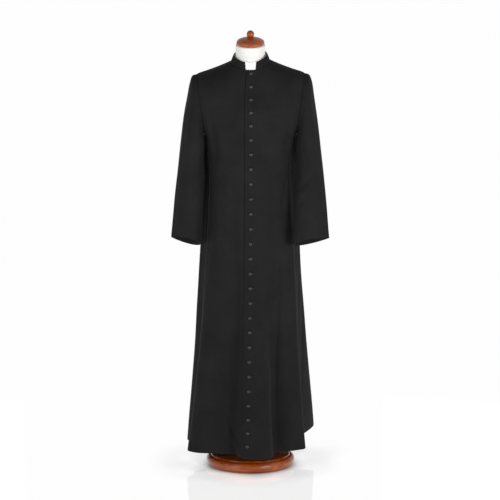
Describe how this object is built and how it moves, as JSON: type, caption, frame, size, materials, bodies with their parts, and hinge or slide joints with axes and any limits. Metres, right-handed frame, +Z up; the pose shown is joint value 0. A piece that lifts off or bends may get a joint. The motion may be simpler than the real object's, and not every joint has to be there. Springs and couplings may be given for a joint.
{
  "type": "cassock on a limbless tailor's form",
  "caption": "Black ankle-length cassock buttoned down the front, with a standing collar and a white collar band, on a limbless form with a round turned wooden base.",
  "frame": {"origin": "centre of the base's underside, on the floor", "axes": "+Z up, -Y towards the front of the garment, +X towards the wearer's left"},
  "size_m": [0.6176, 0.555, 1.7412],
  "materials": {
    "cassock_cloth": "matte worsted wool, fine twill, black",
    "button_cloth": "cloth-covered, a little sheen, black",
    "white_band": "smooth starched white",
    "form_cover": "off-white knitted cover over padding",
    "turned_wood": "turned, stained reddish brown, high gloss varnish"
  },
  "bodies": {
    "root": {"front_left": "cassock_cloth", "front_right": "cassock_cloth", "back_left": "cassock_cloth", "back_right": "cassock_cloth", "sleeve_left_upper": "cassock_cloth", "sleeve_left_under": "cassock_cloth", "sleeve_right_upper": "cassock_cloth", "sleeve_right_under": "cassock_cloth", "collar": "cassock_cloth", "collar_insert": "white_band", "form_torso": "form_cover", "form_pole": "turned_wood", "form_base": "turned_wood", "neck_cap": "turned_wood", "finial": "turned_wood", "button_01": "button_cloth", "button_02": "button_cloth", "button_03": "button_cloth", "button_04": "button_cloth", "button_05": "button_cloth", "button_06": "button_cloth", "button_07": "button_cloth", "button_08": "button_cloth", "button_09": "button_cloth", "button_10": "button_cloth", "button_11": "button_cloth", "button_12": "button_cloth", "button_13": "button_cloth", "button_14": "button_cloth", "button_15": "button_cloth", "button_16": "button_cloth", "button_17": "button_cloth", "button_18": "button_cloth", "button_19": "button_cloth", "button_20": "button_cloth", "button_21": "button_cloth", "button_22": "button_cloth", "button_23": "button_cloth", "button_24": "button_cloth", "button_25": "button_cloth", "button_26": "button_cloth", "button_27": "button_cloth"}
  },
  "joints": []
}
